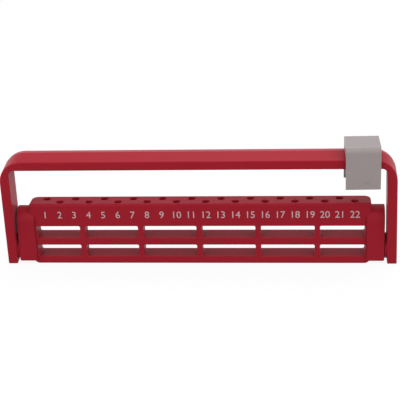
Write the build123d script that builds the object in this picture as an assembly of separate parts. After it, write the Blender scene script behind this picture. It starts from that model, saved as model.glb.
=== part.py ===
from build123d import *
import math
import os

# Dental bur block: a moulded block with two rows of bur holes, a swinging bail over
# them, and a grey clip that slides along the bail.
# Millimetres. X runs along the block, +Y points to the back and Z is up.
# The origin is the middle of the block's flat underside.

# Bur holes
hole_pitch = 9.4            # from hole to hole along one row
holes_per_row = 11
row_gap = 2.6               # between the centre lines of the two rows
hole_diameter = 2.45        # takes a 2.35 mm bur shank
hole_margin = 5.05          # last hole's centre to the end of the block

# Block, from the bottom up: rail, window, shelf, window, top band
rail_height = 2.4
window_height = 4.1
shelf_height = 2.4
band_height = 7.7
block_depth = 6.8
rib_width = 1.65
rib_depth = 4.9             # the ribs stand at the front, the back stays open
pitches_per_window = 2      # a rib stands at every second hole
end_wall = 1.7
window_corner = 0.5
back_corner = 2.2           # upright edges at the back of the block
foot_corner = 2.0           # bottom edges at both ends
brow_radius = 0.7           # long edge between the top and the front
block_edge = 0.35           # fine rounding of the other top edges

# End pads, which carry the bail
pad_depth = 8.3
pad_height = 17.75
pad_overlap = 1.3           # reach of the pad over the block's end
pad_length = 5.6
pad_foot_gap = 1.05         # underside of the pad above the table
pad_edge = 0.4

# Pivots at the feet of the bail
pivot_height = 4.9
pin_diameter = 3.6
pin_length = 3.6
pin_clearance = 0.08        # all round the pin in its bore
pin_end_clearance = 0.4
pin_chamfer = 0.5
hub_diameter = 8.2
hub_clearance = 0.15        # between the hub's face and the pad

# Bail, a flat strap bent into a U
bail_lean = 6.5             # degrees towards the front at rest
strap_width = 9.1
strap_thickness = 3.05
strap_draft_width = 2.0     # strip along the back of the outer face that falls away
strap_draft_drop = 0.28
arm_gap = 0.84              # between the pad and the arm, at the pivot
arm_flare = 1.3             # degrees, each arm stands outwards towards its foot
bar_height = 32.6           # pivot to the top of the bar
foot_length = 4.4           # pivot to the end of the arm
bend_radius = 7.4           # outside of the two bends
inner_bend_radius = 1.8
foot_radius = 0.45
strap_edge = 0.3

# Clip, a saddle that hangs upright on the leaning bar
clip_length = 10.65
clip_wall = 0.75
clip_top_wall = 3.2
clip_height = 13.6
clip_play = 0.28            # each side of the strap, for the lean and a slight skew
clip_lift_play = 0.12       # above and below the strap
clip_skew = 1.5             # degrees about the vertical
clip_from_bend = 0.44       # end of the clip to the start of the inner bend
lip_reach = 1.1             # how far the two lips reach under the bar
lip_height = 1.0
clip_nose_radius = 1.7      # front top edge
clip_edge = 0.35
dimple_width = 1.6          # plain mould mark low on the front
dimple_height = 1.3
dimple_depth = 0.15
dimple_rise = 1.9           # clip's lower edge to the middle of the mark
dimple_offset = 1.0         # to the right of the clip's middle


def flared(place, height):
    """A distance from the middle of the part at the pivot, carried up a flared arm."""
    return place - height * math.tan(math.radians(arm_flare))


# Worked out from the sizes above
stagger = hole_pitch / 2
block_length = (holes_per_row - 1) * hole_pitch + stagger + 2 * hole_margin
block_height = rail_height + 2 * window_height + shelf_height + band_height
window_field = block_length - 2 * end_wall
rib_pitch = pitches_per_window * hole_pitch
rib_count = (holes_per_row - 1) // pitches_per_window
pad_end = block_length / 2 - pad_overlap + pad_length
arm_inside = pad_end + arm_gap
arm_outside = arm_inside + strap_thickness
bore_diameter = pin_diameter + 2 * pin_clearance
hub_length = arm_gap - hub_clearance
clip_end = flared(arm_inside, bar_height - strap_thickness) - inner_bend_radius - clip_from_bend
clip_position = clip_end - clip_length / 2


def rib_places():
    """Middles of the ribs along X."""
    return [(index - (rib_count - 1) / 2) * rib_pitch for index in range(rib_count)]


def window_levels():
    """Heights of the middles of the two rows of windows."""
    lower = rail_height + window_height / 2
    return [lower, lower + window_height + shelf_height]


def hole_places():
    """Middles of all bur holes, the two rows half a pitch apart."""
    places = []
    for row, side in ((row_gap / 2, -1), (-row_gap / 2, 1)):
        for index in range(holes_per_row):
            along = (index - (holes_per_row - 1) / 2) * hole_pitch + side * stagger / 2
            places.append((along, row))
    return places


def front_plate(x, z, width, height, radius, front, back):
    """A rounded rectangle in the XZ plane, from the depth front to the depth back."""
    outline = Plane.XZ.offset(-back) * Pos(x, z) * RectangleRounded(width, height, radius)
    return extrude(outline, back - front)


def block_core():
    """The plain bar of the block with its rounded corners and long edges."""
    core = Pos(0, 0, block_height / 2) * Box(block_length, block_depth, block_height)
    feet = core.faces().sort_by(Axis.Z)[0].edges().filter_by(Axis.Y)
    core = fillet(feet, foot_corner)
    upright = core.edges().filter_by(Axis.Z).group_by(Axis.Y)[-1]
    core = fillet(upright, back_corner)
    brow = core.faces().sort_by(Axis.Z)[-1].edges().sort_by(Axis.Y)[0]
    core = fillet(brow, brow_radius)
    return fillet(core.faces().sort_by(Axis.Z)[-1].edges().sort_by(Axis.Y)[1:], block_edge)


def end_pad(side):
    """Pad at one end of the block: a slab with a full round top and a chamfered foot."""
    radius = pad_depth / 2
    middle = side * (pad_end - pad_length / 2)
    straight = pad_height - radius
    slab = Pos(middle, 0, pad_foot_gap + straight / 2) * Box(pad_length, pad_depth, straight)
    crown = Pos(middle, 0, pad_foot_gap + straight) * Rot(0, 90, 0) * Cylinder(radius, pad_length)
    pad = slab + crown
    foot = pad.faces().sort_by(Axis.Z)[0].edges()
    pad = chamfer(foot, pad_edge)
    outer = pad.faces().sort_by(Axis.X)[-1 if side > 0 else 0]
    return fillet(outer.edges(), pad_edge / 2)


def window_spans():
    """Left and right ends of the windows, between the end walls and the ribs."""
    edges = [-window_field / 2]
    for place in rib_places():
        edges += [place - rib_width / 2, place + rib_width / 2]
    edges.append(window_field / 2)
    return list(zip(edges[0::2], edges[1::2]))


def window_cut(level):
    """One row of windows: the open space behind the ribs and the openings between them."""
    behind_ribs = -block_depth / 2 + rib_depth
    cut = front_plate(0, level, window_field, window_height, window_corner,
                      behind_ribs, block_depth)
    for left, right in window_spans():
        cut += front_plate((left + right) / 2, level, right - left, window_height,
                           window_corner, -block_depth, behind_ribs)
    return cut


def hole_cuts():
    """The bur holes, through the top band; a bur stands on the shelf below."""
    middle = block_height - band_height / 2
    length = band_height + window_height
    return [Pos(x, y, middle) * Cylinder(hole_diameter / 2, length) for x, y in hole_places()]


def pivot_bore(side):
    """Blind bore for the bail's pin, from the pad's outer face."""
    depth = pin_length - arm_gap + pin_end_clearance
    middle = side * (pad_end - depth / 2)
    return Pos(middle, 0, pivot_height) * Rot(0, 90, 0) * Cylinder(bore_diameter / 2, depth)


def make_block():
    """The moulded block in one piece."""
    block = block_core() + end_pad(-1) + end_pad(1)
    for level in window_levels():
        block -= window_cut(level)
    return block - hole_cuts() - [pivot_bore(-1), pivot_bore(1)]


def strap_outline():
    """Outline of the U in the XZ plane, feet rounded and bends drawn as arcs."""
    tip = foot_radius
    low = -foot_length
    top = bar_height
    inner_top = bar_height - strap_thickness
    right_half = [
        (flared(arm_outside, top), top), (flared(arm_outside, low), low),
        (flared(arm_inside, low), low), (flared(arm_inside, inner_top), inner_top),
    ]
    points = right_half + [(-x, z) for x, z in reversed(right_half)]
    half_radii = [bend_radius, tip, tip, inner_bend_radius]
    radii = half_radii + half_radii[::-1]
    return FilletPolyline(*points, radius=radii, close=True)


def pivot(side):
    """Hub and pin on the inside of one arm."""
    root = strap_thickness / 2
    hub_middle = side * (arm_inside + root / 2 - hub_length / 2)
    hub = Pos(hub_middle, 0, 0) * Rot(0, 90, 0) * Cylinder(hub_diameter / 2, hub_length + root)
    pin_middle = side * (arm_inside + root / 2 - pin_length / 2)
    pin = Pos(pin_middle, 0, 0) * Rot(0, 90, 0) * Cylinder(pin_diameter / 2, pin_length + root)
    tip = pin.faces().sort_by(Axis.X)[0 if side > 0 else -1]
    pin = chamfer(tip.edges(), pin_chamfer)
    return hub + pin


def outer_edges(rim):
    """Edges of the U's outer side on its front or back face, without the feet."""
    straight = rim.edges().filter_by(GeomType.LINE)
    arms = straight.sort_by(Axis.X)
    bends = rim.edges().filter_by(GeomType.CIRCLE).sort_by(SortBy.LENGTH)
    return [straight.sort_by(Axis.Z)[-1], arms[0], arms[-1], bends[-1], bends[-2]]


def make_bail():
    """The bail in one piece, upright, with the pivot line at height zero."""
    strap = extrude(make_face(Plane.XZ * strap_outline()), strap_width / 2, both=True)
    back = strap.faces().sort_by(Axis.Y)[-1]
    strap = chamfer(outer_edges(back), strap_draft_drop, strap_draft_width, reference=back)
    rims = strap.faces().sort_by(Axis.Y)
    strap = fillet(rims[0].edges() + rims[-1].edges(), strap_edge)
    middle = (bar_height - foot_length) / 2
    side_view = Plane.YZ * Pos(0, middle) * Rectangle(strap_width, bar_height + foot_length)
    lower = side_view.vertices().group_by(Axis.Z)[0]
    sleeve = extrude(fillet(lower, foot_radius), 2 * arm_outside, both=True)
    return (strap & sleeve) + pivot(-1) + pivot(1)


def bar_middle():
    """Middle of the leaning bar: its depth and its height."""
    reach = bar_height - strap_thickness / 2
    angle = math.radians(bail_lean)
    return -reach * math.sin(angle), pivot_height + reach * math.cos(angle)


def clip_slot():
    """Width and height that the leaning strap needs inside the upright clip."""
    angle = math.radians(bail_lean)
    width = strap_width * math.cos(angle) + strap_thickness * math.sin(angle)
    height = strap_thickness * math.cos(angle) + strap_width * math.sin(angle)
    return width + 2 * clip_play, height + 2 * clip_lift_play


def make_clip():
    """The clip in one piece, with the middle of its slot at the origin."""
    slot_width, slot_height = clip_slot()
    depth = slot_width + 2 * clip_wall
    top = slot_height / 2 + clip_top_wall
    low = top - clip_height
    shell = Pos(0, 0, (top + low) / 2) * Box(clip_length, depth, clip_height)
    nose = shell.faces().sort_by(Axis.Z)[-1].edges().sort_by(Axis.Y)[0]
    shell = fillet(nose, clip_nose_radius)
    front = shell.faces().sort_by(Axis.Y)[0]
    back = shell.faces().sort_by(Axis.Y)[-1]
    shell = fillet(front.edges().group_by(Axis.Z)[0] + back.edges(), clip_edge)
    slot = Box(2 * clip_length, slot_width, slot_height)
    mouth_top = -slot_height / 2
    mouth_height = mouth_top - low
    mouth = Pos(0, 0, mouth_top - mouth_height) * Box(2 * clip_length, slot_width - 2 * lip_reach,
                                                      2 * mouth_height)
    legs_top = mouth_top - lip_height
    legs_height = legs_top - low
    legs = Pos(0, 0, legs_top - legs_height) * Box(2 * clip_length, slot_width, 2 * legs_height)
    mark = Pos(dimple_offset, -depth / 2, low + dimple_rise) * Box(dimple_width, 2 * dimple_depth,
                                                                  dimple_height)
    return shell - slot - mouth - legs - mark


def placed_bail():
    """The bail on its pivots, leaning to the front."""
    return Pos(0, 0, pivot_height) * Rot(bail_lean, 0, 0) * make_bail()


def placed_clip():
    """The clip hanging on the bar."""
    depth, height = bar_middle()
    return Pos(clip_position, depth, height) * Rot(0, 0, clip_skew) * make_clip()


def main():
    os.makedirs("parts", exist_ok=True)
    pieces = {
        "bur_block": make_block(),
        "swing_bail": placed_bail(),
        "slide_clip": placed_clip(),
    }
    for name, piece in pieces.items():
        piece.label = name
        export_step(piece, os.path.join("parts", name + ".step"))


main()
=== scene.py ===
import math

import bmesh
import bpy
from mathutils import Matrix, Vector


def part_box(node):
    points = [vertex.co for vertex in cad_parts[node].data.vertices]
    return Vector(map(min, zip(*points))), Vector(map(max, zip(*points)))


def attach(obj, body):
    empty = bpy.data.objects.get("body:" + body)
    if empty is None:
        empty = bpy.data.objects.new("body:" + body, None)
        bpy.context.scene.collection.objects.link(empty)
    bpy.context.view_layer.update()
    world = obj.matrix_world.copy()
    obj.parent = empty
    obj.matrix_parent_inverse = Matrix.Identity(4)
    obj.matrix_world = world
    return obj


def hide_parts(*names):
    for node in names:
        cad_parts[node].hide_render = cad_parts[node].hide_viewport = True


bl_info = {
    "name": "Dental Bur Block",
    "version": (1, 0, 0),
    "blender": (4, 5, 0),
    "location": "3D Viewport > Sidebar > Bur Block",
    "description": "Soft edges, finishes, hole numbers and studio for a moulded dental bur block",
    "category": "Object",
}

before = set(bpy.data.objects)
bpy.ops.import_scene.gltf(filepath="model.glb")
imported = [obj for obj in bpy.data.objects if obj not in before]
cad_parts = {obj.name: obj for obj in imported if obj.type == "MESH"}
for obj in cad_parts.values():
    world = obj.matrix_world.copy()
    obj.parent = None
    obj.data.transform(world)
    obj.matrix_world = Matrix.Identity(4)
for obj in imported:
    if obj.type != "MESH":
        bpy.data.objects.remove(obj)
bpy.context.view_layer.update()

MM = 0.001
WHITE = (1, 1, 1, 1)

# Sizes of the part that the print and the finishes need
HOLE_PITCH = 9.4 * MM
HOLES_PER_ROW = 11
BAND_HEIGHT = 7.7 * MM
BLOCK_DEPTH = 6.8 * MM
PIVOT_HEIGHT = 4.9 * MM
BAIL_LEAN = math.radians(6.5)

# Rounding of the block's edges, which ends just short of the pads' inner sides
BETWEEN_PADS = 53.0 * MM
ROUNDING_STEPS = 2
WELD = 0.001 * MM
PLANE_SLACK = 0.005 * MM
FLAT_ANGLE = math.radians(0.5)
SHARP_ANGLE = math.radians(50)
CREASE_ANGLE = math.radians(50)

# Painted highlight on the bail, a paler strip: its start behind the strap's middle, and its
# soft edge. Only the outer side has it, which is told by how far a face's plane lies from a
# point inside the bail: none up to the near distance, all of it from the far one.
HIGHLIGHT_START = 2.5 * MM
HIGHLIGHT_FADE = 0.15 * MM
BAIL_MIDDLE = 20.0 * MM
FACE_NEAR = 4 * MM
FACE_FAR = 8 * MM

# Patterns. Mould grain is usually about 0.05 mm wide and too fine to show at this size, so
# the grain of both plastics is drawn several times coarser, about a pixel wide.
RESIN_CLOUD = 14 * MM
CLIP_CLOUD = 5 * MM
CLIP_GRAIN = 0.3 * MM
# Specks that break up the painted highlight on the bail
HIGHLIGHT_SPECK = 0.8 * MM
INK_SPECK = 0.25 * MM
GRAIN_DEPTH = 0.02 * MM
ROUGHNESS_SPREAD = 0.05
PLASTIC_IOR = 1.5

# Height of a digit as a share of the font's size
DIGIT_SHARE = 0.7
DIGIT_STEPS = 4

# Camera and stage. The backdrop's top and its fade to the room above are sines of a height.
SENSOR_WIDTH = 36.0
CLIP_START = 10 * MM
CLIP_END = 20.0
BACKDROP_TOP = 0.2
BACKDROP_FADE = 0.25
TABLE_SIZE = 6.0
WHITE_SHARE = 0.9


def linear(code):
    """sRGB hex colour as the linear RGBA that shaders use."""
    channels = [int(code[i:i + 2], 16) / 255 for i in (1, 3, 5)]
    curve = [c / 12.92 if c <= 0.04045 else ((c + 0.055) / 1.055) ** 2.4 for c in channels]
    return (*curve, 1.0)


def add_node(tree, kind, inputs=None, **settings):
    """Adds one node with its settings; an input is a value or another node's output."""
    made = tree.nodes.new(kind)
    for name, value in settings.items():
        setattr(made, name, value)
    for socket, value in (inputs or {}).items():
        if isinstance(value, bpy.types.NodeSocket):
            tree.links.new(value, made.inputs[socket])
        else:
            made.inputs[socket].default_value = value
    return made


def empty_material(name):
    """A material with an empty node tree."""
    material = bpy.data.materials.new(name)
    material.use_nodes = True
    material.node_tree.nodes.clear()
    return material


def dress(piece, material):
    """Puts one material on every slot of a piece."""
    piece.data.materials.clear()
    piece.data.materials.append(material)
    for face in piece.data.polygons:
        face.material_index = 0


class MouldingSettings(bpy.types.PropertyGroup):
    """Finish of the two red mouldings."""

    red: bpy.props.StringProperty(
        name="Red", description="Colour of the moulded resin, sRGB hex", default="#A4202E")
    deep_red: bpy.props.StringProperty(
        name="Deep red", description="Darker streaks in the resin, sRGB hex", default="#9A1C2A")
    # The bail's reds are a shade paler than the block's, to stand in for the brighter light on
    # the bail: painted light
    bail_red: bpy.props.StringProperty(
        name="Bail red", description="Colour of the bail's batch of resin, sRGB hex",
        default="#A9212F")
    bail_deep_red: bpy.props.StringProperty(
        name="Deep bail red", description="Darker streaks in the bail, sRGB hex",
        default="#A01D2B")
    # Paler red of the painted highlight along the back of the strap
    rubbed_red: bpy.props.StringProperty(
        name="Rubbed red", description="Paler red where the strap is rubbed, sRGB hex",
        default="#B54C59")
    sheen: bpy.props.StringProperty(
        name="Sheen", description="Tint of the chalky sheen, sRGB hex", default="#D0D8FF")
    grain: bpy.props.FloatProperty(
        name="Grain", description="Width of the mould grain, coarser than real so it shows",
        default=0.35 * MM, unit="LENGTH")
    front_edge: bpy.props.FloatProperty(
        name="Front edge", description="Rounding of the windows' front rims",
        default=0.2 * MM, unit="LENGTH")
    back_edge: bpy.props.FloatProperty(
        name="Back edge", description="Rounding of the edges at the back",
        default=0.15 * MM, unit="LENGTH")
    hole_edge: bpy.props.FloatProperty(
        name="Hole edge", description="Rounding of the bur holes' rims",
        default=0.12 * MM, unit="LENGTH")
    roughness: bpy.props.FloatProperty(
        name="Roughness", description="Middle roughness of the resin", default=0.42,
        min=0.0, max=1.0, subtype="FACTOR")


class ClipSettings(bpy.types.PropertyGroup):
    """Finish of the sliding clip."""

    grey: bpy.props.StringProperty(
        name="Grey", description="Colour of the clip, sRGB hex", default="#978C8B")
    pale_grey: bpy.props.StringProperty(
        name="Pale grey", description="Paler clouds in the clip, sRGB hex", default="#9F9493")
    sheen: bpy.props.StringProperty(
        name="Sheen", description="Tint of the chalky sheen, sRGB hex", default="#E6E9FF")
    roughness: bpy.props.FloatProperty(
        name="Roughness", description="Middle roughness of the clip", default=0.4,
        min=0.0, max=1.0, subtype="FACTOR")


class PrintSettings(bpy.types.PropertyGroup):
    """Hole numbers printed on the top band."""

    ink: bpy.props.StringProperty(
        name="Ink", description="Colour of the pad print, sRGB hex", default="#C9B4B8")
    thin_ink: bpy.props.StringProperty(
        name="Thin ink", description="Colour where the red shows through the print, sRGB hex",
        default="#B08A90")
    digit_height: bpy.props.FloatProperty(
        name="Digit height", description="Height of a printed digit", default=2.3 * MM,
        unit="LENGTH")
    film: bpy.props.FloatProperty(
        name="Film", description="Thickness of the ink above the band", default=0.02 * MM,
        unit="LENGTH")


class StageSettings(bpy.types.PropertyGroup):
    """Camera, light and floor."""

    lens: bpy.props.FloatProperty(
        name="Lens", description="Focal length on a 36 mm sensor, in mm", default=107.4)
    distance: bpy.props.FloatProperty(
        name="Distance", description="Camera to the middle of the block", default=380.3 * MM,
        unit="LENGTH")
    turn: bpy.props.FloatProperty(
        name="Turn", description="Camera's turn to the right of the front",
        default=math.radians(5.35), unit="ROTATION")
    elevation: bpy.props.FloatProperty(
        name="Elevation", description="Camera's height above the horizon",
        default=math.radians(22.18), unit="ROTATION")
    roll: bpy.props.FloatProperty(
        name="Roll", description="Camera's roll about its line of sight",
        default=math.radians(-2.23), unit="ROTATION")
    target: bpy.props.FloatVectorProperty(
        name="Target", description="Point in the middle of the picture",
        default=(0.39 * MM, 0.0, 20.65 * MM), unit="LENGTH")
    sky: bpy.props.FloatProperty(
        name="Sky", description="Level of the soft light from all round", default=0.6,
        min=0.0)
    ceiling: bpy.props.StringProperty(
        name="Ceiling", description="Grey of the room above the backdrop, sRGB hex",
        default="#6E6E6E")
    back_softbox: bpy.props.FloatProperty(
        name="Back softbox", description="Power of the lamp above and behind, in watts",
        default=1.2, min=0.0)
    side_softbox: bpy.props.FloatProperty(
        name="Side softboxes", description="Power of each of the two lamps beside the camera",
        default=2.7, min=0.0)
    floor: bpy.props.StringProperty(
        name="Floor", description="Grey of the table for the light it throws back, sRGB hex",
        default="#707070")


def rubbed_line(tree, place):
    """1 on the strip along the back of the strap's outer side, broken up by fine specks: where a
    highlight is painted.
    """
    across = (0.0, math.cos(BAIL_LEAN), math.sin(BAIL_LEAN))
    depth = add_node(tree, "ShaderNodeVectorMath", {0: place, 1: across},
                     operation="DOT_PRODUCT")
    edge = HIGHLIGHT_START + PIVOT_HEIGHT * math.sin(BAIL_LEAN)
    behind = add_node(tree, "ShaderNodeMapRange", {
        "Value": depth.outputs["Value"], "From Min": edge - HIGHLIGHT_FADE, "From Max": edge})
    from_middle = add_node(tree, "ShaderNodeVectorMath", {
        0: place, 1: (0.0, 0.0, BAIL_MIDDLE)}, operation="SUBTRACT")
    normal = add_node(tree, "ShaderNodeTexCoord").outputs["Normal"]
    outward = add_node(tree, "ShaderNodeVectorMath", {
        0: from_middle.outputs["Vector"], 1: normal}, operation="DOT_PRODUCT")
    outside = add_node(tree, "ShaderNodeMapRange", {
        "Value": outward.outputs["Value"], "From Min": FACE_NEAR, "From Max": FACE_FAR})
    specks = add_node(tree, "ShaderNodeTexNoise", {
        "Vector": place, "Scale": 1 / HIGHLIGHT_SPECK, "Detail": 3.0, "Roughness": 0.6})
    highlight_breakup = add_node(tree, "ShaderNodeMapRange", {
        "Value": specks.outputs["Fac"], "From Min": 0.2, "From Max": 0.6,
        "To Min": 0.6, "To Max": 1.0})
    strip = add_node(tree, "ShaderNodeMath", {
        0: behind.outputs["Result"], 1: outside.outputs["Result"]}, operation="MULTIPLY")
    return add_node(tree, "ShaderNodeMath", {
        0: strip.outputs[0], 1: highlight_breakup.outputs["Result"]}, operation="MULTIPLY").outputs[0]


def mould_grain(tree, place, width, roughness, strength):
    """Roughness and bump of the grain that an eroded mould leaves on a plastic."""
    grain = add_node(tree, "ShaderNodeTexNoise", {
        "Vector": place, "Scale": 1 / width, "Detail": 4.0, "Roughness": 0.6})
    gloss = add_node(tree, "ShaderNodeMapRange", {
        "Value": grain.outputs["Fac"], "From Min": 0.3, "From Max": 0.7,
        "To Min": roughness - ROUGHNESS_SPREAD, "To Max": roughness + ROUGHNESS_SPREAD})
    relief = add_node(tree, "ShaderNodeBump", {
        "Height": grain.outputs["Fac"], "Strength": strength, "Distance": GRAIN_DEPTH})
    return gloss.outputs["Result"], relief.outputs["Normal"]


def moulded_resin(name, settings, red, deep_red, highlight_painted=False):
    """Injection moulded autoclavable resin from an eroded mould: a satin face with a fine
    grain, faint flow clouds, and a cool chalky sheen where it is seen at a low angle. The
    strap can get a painted highlight, a paler strip along its back edge."""
    material = empty_material(name)
    tree = material.node_tree
    place = add_node(tree, "ShaderNodeTexCoord").outputs["Object"]
    clouds = add_node(tree, "ShaderNodeTexNoise", {
        "Vector": place, "Scale": 1 / RESIN_CLOUD, "Detail": 3.0, "Roughness": 0.5})
    colour = add_node(tree, "ShaderNodeMix", {
        "Factor": clouds.outputs["Fac"], "A": linear(deep_red),
        "B": linear(red)}, data_type="RGBA").outputs["Result"]
    # Painted highlight: the strap is paler along its back edge
    if highlight_painted:
        colour = add_node(tree, "ShaderNodeMix", {
            "Factor": rubbed_line(tree, place), "A": colour,
            "B": linear(settings.rubbed_red)}, data_type="RGBA").outputs["Result"]
    gloss, relief = mould_grain(tree, place, settings.grain, settings.roughness, 0.35)
    shader = add_node(tree, "ShaderNodeBsdfPrincipled", {
        "Base Color": colour, "Roughness": gloss, "Normal": relief,
        "IOR": PLASTIC_IOR, "Specular IOR Level": 0.1,
        "Sheen Weight": 0.06, "Sheen Roughness": 0.4, "Sheen Tint": linear(settings.sheen)})
    add_node(tree, "ShaderNodeOutputMaterial", {"Surface": shader.outputs["BSDF"]})
    return material


def moulded_clip_plastic(settings):
    """Grey moulded clip plastic: satin, with a soft chalky sheen and a fine grain."""
    material = empty_material("moulded_clip_plastic")
    tree = material.node_tree
    place = add_node(tree, "ShaderNodeTexCoord").outputs["Object"]
    clouds = add_node(tree, "ShaderNodeTexNoise", {
        "Vector": place, "Scale": 1 / CLIP_CLOUD, "Detail": 3.0, "Roughness": 0.5})
    colour = add_node(tree, "ShaderNodeMix", {
        "Factor": clouds.outputs["Fac"], "A": linear(settings.grey),
        "B": linear(settings.pale_grey)}, data_type="RGBA")
    gloss, relief = mould_grain(tree, place, CLIP_GRAIN, settings.roughness, 0.3)
    shader = add_node(tree, "ShaderNodeBsdfPrincipled", {
        "Base Color": colour.outputs["Result"], "Roughness": gloss, "Normal": relief,
        "IOR": PLASTIC_IOR, "Specular IOR Level": 0.5,
        "Sheen Weight": 0.2, "Sheen Roughness": 0.4, "Sheen Tint": linear(settings.sheen)})
    add_node(tree, "ShaderNodeOutputMaterial", {"Surface": shader.outputs["BSDF"]})
    return material


def pad_print_ink(settings):
    """Pad printed ink: a thin, flat, slightly broken film of pale grey."""
    material = empty_material("pad_print_ink")
    tree = material.node_tree
    place = add_node(tree, "ShaderNodeTexCoord").outputs["Object"]
    specks = add_node(tree, "ShaderNodeTexNoise", {
        "Vector": place, "Scale": 1 / INK_SPECK, "Detail": 2.0, "Roughness": 0.6})
    cover = add_node(tree, "ShaderNodeMapRange", {
        "Value": specks.outputs["Fac"], "From Min": 0.35, "From Max": 0.5})
    colour = add_node(tree, "ShaderNodeMix", {
        "Factor": cover.outputs["Result"], "A": linear(settings.thin_ink),
        "B": linear(settings.ink)}, data_type="RGBA")
    shader = add_node(tree, "ShaderNodeBsdfPrincipled", {
        "Base Color": colour.outputs["Result"], "Roughness": 0.5, "IOR": PLASTIC_IOR})
    add_node(tree, "ShaderNodeOutputMaterial", {"Surface": shader.outputs["BSDF"]})
    return material


def digit_mesh(text, height, thickness):
    """Closed mesh of a printed number in the XZ plane, centred on the origin."""
    curve = bpy.data.curves.new("digits", "FONT")
    curve.body = text
    curve.align_x = "CENTER"
    curve.align_y = "CENTER"
    curve.size = height / DIGIT_SHARE
    curve.extrude = thickness
    curve.resolution_u = DIGIT_STEPS
    holder = bpy.data.objects.new("digits", curve)
    mesh = bpy.data.meshes.new_from_object(holder)
    bpy.data.objects.remove(holder)
    bpy.data.curves.remove(curve)
    mesh.transform(Matrix.Rotation(math.pi / 2, 4, "X"))
    return mesh


def joined_mesh(node):
    """The node's shape as an editable closed mesh with whole flat faces."""
    shape = bmesh.new()
    shape.from_mesh(node.data)
    bmesh.ops.remove_doubles(shape, verts=shape.verts, dist=WELD)
    bmesh.ops.dissolve_limit(shape, angle_limit=FLAT_ANGLE, verts=shape.verts,
                             edges=shape.edges)
    return shape


def sharp_edges_at(shape, axis, level, reach):
    """Sharp outward edges in the plane where the axis has that level, within the reach."""
    found = []
    for edge in shape.edges:
        if not edge.is_convex or edge.calc_face_angle() < SHARP_ANGLE:
            continue
        if all(abs(v.co[axis] - level) < PLANE_SLACK and abs(v.co.x) < reach
               for v in edge.verts):
            found.append(edge)
    return found


def soften(shape, edges, radius):
    """Rounds the edges as a mould does."""
    bmesh.ops.bevel(shape, geom=edges, offset=radius, segments=ROUNDING_STEPS, profile=0.5,
                    affect="EDGES", clamp_overlap=False)


def closed_piece(context, name, shape):
    """A new object from the edited mesh, smooth over its curves and flat on its faces."""
    mesh = bpy.data.meshes.new(name)
    shape.to_mesh(mesh)
    shape.free()
    for stale in ("custom_normal", "sharp_edge", "sharp_face"):
        if stale in mesh.attributes:
            mesh.attributes.remove(mesh.attributes[stale])
    mesh.shade_smooth()
    mesh.set_sharp_from_angle(angle=CREASE_ANGLE)
    piece = bpy.data.objects.new(name, mesh)
    context.scene.collection.objects.link(piece)
    normals = piece.modifiers.new("even_normals", "WEIGHTED_NORMAL")
    normals.keep_sharp = True
    return piece


class BURBLOCK_OT_mould_block(bpy.types.Operator):
    """Softens the block's sharp edges as its mould does, and gives it the red resin"""

    bl_idname = "burblock.mould_block"
    bl_label = "Mould the block"

    def execute(self, context):
        settings = context.scene.burblock_moulding
        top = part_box("bur_block")[1].z
        shape = joined_mesh(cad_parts["bur_block"])
        for axis, level, radius in ((1, -BLOCK_DEPTH / 2, settings.front_edge),
                                    (1, BLOCK_DEPTH / 2, settings.back_edge),
                                    (2, top, settings.hole_edge)):
            soften(shape, sharp_edges_at(shape, axis, level, BETWEEN_PADS), radius)
        block = closed_piece(context, "moulded_block", shape)
        dress(block, moulded_resin("moulded_red_resin", settings, settings.red,
                                   settings.deep_red))
        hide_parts("bur_block")
        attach(block, "block")
        return {"FINISHED"}


class BURBLOCK_OT_finish_bail(bpy.types.Operator):
    """Gives the bail the same resin, from a mould of its own, in a paler red that is painted
    light
    """

    bl_idname = "burblock.finish_bail"
    bl_label = "Finish the bail"

    def execute(self, context):
        settings = context.scene.burblock_moulding
        # The strap's back edge gets a painted highlight
        dress(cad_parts["swing_bail"], moulded_resin(
            "bail_resin_painted_light", settings, settings.bail_red, settings.bail_deep_red,
            highlight_painted=True))
        return {"FINISHED"}


class BURBLOCK_OT_finish_clip(bpy.types.Operator):
    """Gives the clip its satin grey plastic"""

    bl_idname = "burblock.finish_clip"
    bl_label = "Finish the clip"

    def execute(self, context):
        settings = context.scene.burblock_clip
        dress(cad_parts["slide_clip"], moulded_clip_plastic(settings))
        return {"FINISHED"}


class BURBLOCK_OT_print_numbers(bpy.types.Operator):
    """Prints a number under each bur hole on the front of the top band"""

    bl_idname = "burblock.print_numbers"
    bl_label = "Print the hole numbers"

    def execute(self, context):
        settings = context.scene.burblock_print
        ink = pad_print_ink(settings)
        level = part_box("bur_block")[1].z - BAND_HEIGHT / 2
        front = -BLOCK_DEPTH / 2
        count = 2 * HOLES_PER_ROW
        for number in range(1, count + 1):
            along = (number - (count + 1) / 2) * HOLE_PITCH / 2
            mesh = digit_mesh(str(number), settings.digit_height, settings.film)
            digits = bpy.data.objects.new(f"hole_number_{number:02d}", mesh)
            context.scene.collection.objects.link(digits)
            digits.location = (along, front, level)
            dress(digits, ink)
            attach(digits, "block")
        return {"FINISHED"}


def camera_axes(settings):
    """Right, up and forward of the camera, from its turn, elevation and roll."""
    turn, rise, roll = -settings.turn, settings.elevation, settings.roll
    forward = Vector((math.sin(turn) * math.cos(rise), math.cos(turn) * math.cos(rise),
                      -math.sin(rise)))
    level = Vector((math.cos(turn), -math.sin(turn), 0.0))
    upright = level.cross(forward)
    right = math.cos(roll) * level + math.sin(roll) * upright
    up = math.cos(roll) * upright - math.sin(roll) * level
    return right, up, forward


def place_camera(scene, settings):
    """Camera at the set angle and distance, aimed at the target."""
    right, up, forward = camera_axes(settings)
    camera = bpy.data.objects.new("camera", bpy.data.cameras.new("camera"))
    scene.collection.objects.link(camera)
    camera.data.sensor_width = SENSOR_WIDTH
    camera.data.lens = settings.lens
    camera.data.clip_start = CLIP_START
    camera.data.clip_end = CLIP_END
    turned = Matrix((right, up, -forward)).transposed()
    place = Vector(settings.target) - settings.distance * forward
    camera.matrix_world = Matrix.Translation(place) @ turned.to_4x4()
    scene.camera = camera


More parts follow.
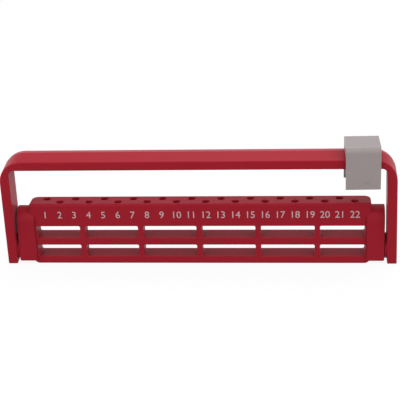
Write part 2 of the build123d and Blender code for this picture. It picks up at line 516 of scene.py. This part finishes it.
def seen_directly(tree):
    """1 where the camera, a reflection or a refraction looks straight at the background."""
    path = add_node(tree, "ShaderNodeLightPath")
    shiny = add_node(tree, "ShaderNodeMath", {
        0: path.outputs["Is Glossy Ray"], 1: path.outputs["Is Transmission Ray"]},
        operation="MAXIMUM")
    return add_node(tree, "ShaderNodeMath", {
        0: path.outputs["Is Camera Ray"], 1: shiny.outputs[0]},
        operation="MAXIMUM").outputs[0]


def paint_world(scene, settings):
    """Soft white light from all round, and plain white where it is looked at."""
    world = bpy.data.worlds.new("studio")
    scene.world = world
    world.use_nodes = True
    tree = world.node_tree
    tree.nodes.clear()
    light = add_node(tree, "ShaderNodeBackground", {
        "Color": WHITE, "Strength": settings.sky})
    ray = add_node(tree, "ShaderNodeTexCoord").outputs["Generated"]
    height = add_node(tree, "ShaderNodeSeparateXYZ", {0: ray}).outputs["Z"]
    above = add_node(tree, "ShaderNodeMapRange", {
        "Value": height, "From Min": BACKDROP_TOP, "From Max": BACKDROP_TOP + BACKDROP_FADE})
    paper = add_node(tree, "ShaderNodeMix", {
        "Factor": above.outputs["Result"], "A": WHITE,
        "B": linear(settings.ceiling)}, data_type="RGBA")
    backdrop = add_node(tree, "ShaderNodeBackground", {
        "Color": paper.outputs["Result"], "Strength": 1.0})
    mixed = add_node(tree, "ShaderNodeMixShader", {
        0: seen_directly(tree), 1: light.outputs[0], 2: backdrop.outputs[0]})
    add_node(tree, "ShaderNodeOutputWorld", {"Surface": mixed.outputs[0]})


def table_top(settings):
    """White laminate table top: white with a soft shadow where it is looked at, and grey
    for the light that it throws back under the object."""
    material = empty_material("white_laminate")
    tree = material.node_tree
    seen = seen_directly(tree)
    colour = add_node(tree, "ShaderNodeMix", {
        "Factor": seen, "A": linear(settings.floor), "B": WHITE}, data_type="RGBA")
    matt = add_node(tree, "ShaderNodeBsdfDiffuse", {"Color": colour.outputs["Result"]})
    white = add_node(tree, "ShaderNodeEmission", {"Color": WHITE, "Strength": 1.0})
    share = add_node(tree, "ShaderNodeMath", {0: seen, 1: WHITE_SHARE}, operation="MULTIPLY")
    mixed = add_node(tree, "ShaderNodeMixShader", {
        0: share.outputs[0], 1: matt.outputs[0], 2: white.outputs[0]})
    add_node(tree, "ShaderNodeOutputMaterial", {"Surface": mixed.outputs[0]})
    return material


def add_softbox(scene, name, place, aim, side, power):
    """Square area lamp at a place, turned to a point."""
    lamp = bpy.data.lights.new(name, "AREA")
    lamp.shape = "SQUARE"
    lamp.size = side
    lamp.energy = power
    holder = bpy.data.objects.new(name, lamp)
    scene.collection.objects.link(holder)
    holder.location = place
    holder.rotation_euler = (Vector(aim) - Vector(place)).to_track_quat("-Z", "Y").to_euler()


class BURBLOCK_OT_build_stage(bpy.types.Operator):
    """Lays the table and sets the lights and the camera"""

    bl_idname = "burblock.build_stage"
    bl_label = "Build the stage"

    def execute(self, context):
        scene = context.scene
        settings = scene.burblock_stage
        scene.view_settings.view_transform = "Standard"
        bpy.ops.mesh.primitive_plane_add(size=TABLE_SIZE, location=(0, 0, 0))
        table = context.object
        table.name = "table"
        dress(table, table_top(settings))
        paint_world(scene, settings)
        for name, place, side, power in (
                ("back_softbox", (0.1, 0.35, 0.6), 0.5, settings.back_softbox),
                ("left_softbox", (-0.5, -0.35, 0.35), 0.8, settings.side_softbox),
                ("right_softbox", (0.5, -0.35, 0.35), 0.8, settings.side_softbox)):
            add_softbox(scene, name, place, settings.target, side, power)
        place_camera(scene, settings)
        return {"FINISHED"}


STEPS = (
    BURBLOCK_OT_mould_block,
    BURBLOCK_OT_finish_bail,
    BURBLOCK_OT_finish_clip,
    BURBLOCK_OT_print_numbers,
    BURBLOCK_OT_build_stage,
)
GROUPS = {
    "burblock_moulding": MouldingSettings,
    "burblock_clip": ClipSettings,
    "burblock_print": PrintSettings,
    "burblock_stage": StageSettings,
}


class BURBLOCK_PT_panel(bpy.types.Panel):
    """The steps and settings of the bur block"""

    bl_idname = "BURBLOCK_PT_panel"
    bl_label = "Bur Block"
    bl_space_type = "VIEW_3D"
    bl_region_type = "UI"
    bl_category = "Bur Block"

    def draw(self, context):
        for step in STEPS:
            self.layout.operator(step.bl_idname)
        for group, kind in GROUPS.items():
            box = self.layout.box()
            for name in kind.__annotations__:
                box.prop(getattr(context.scene, group), name)


CLASSES = (*GROUPS.values(), *STEPS, BURBLOCK_PT_panel)


def register():
    for kind in CLASSES:
        bpy.utils.register_class(kind)
    for group, kind in GROUPS.items():
        setattr(bpy.types.Scene, group, bpy.props.PointerProperty(type=kind))


def unregister():
    for group in GROUPS:
        delattr(bpy.types.Scene, group)
    for kind in reversed(CLASSES):
        bpy.utils.unregister_class(kind)


def main():
    register()
    bpy.ops.burblock.mould_block()
    bpy.ops.burblock.finish_bail()
    bpy.ops.burblock.finish_clip()
    bpy.ops.burblock.print_numbers()
    bpy.ops.burblock.build_stage()


if __name__ == "__main__":
    main()
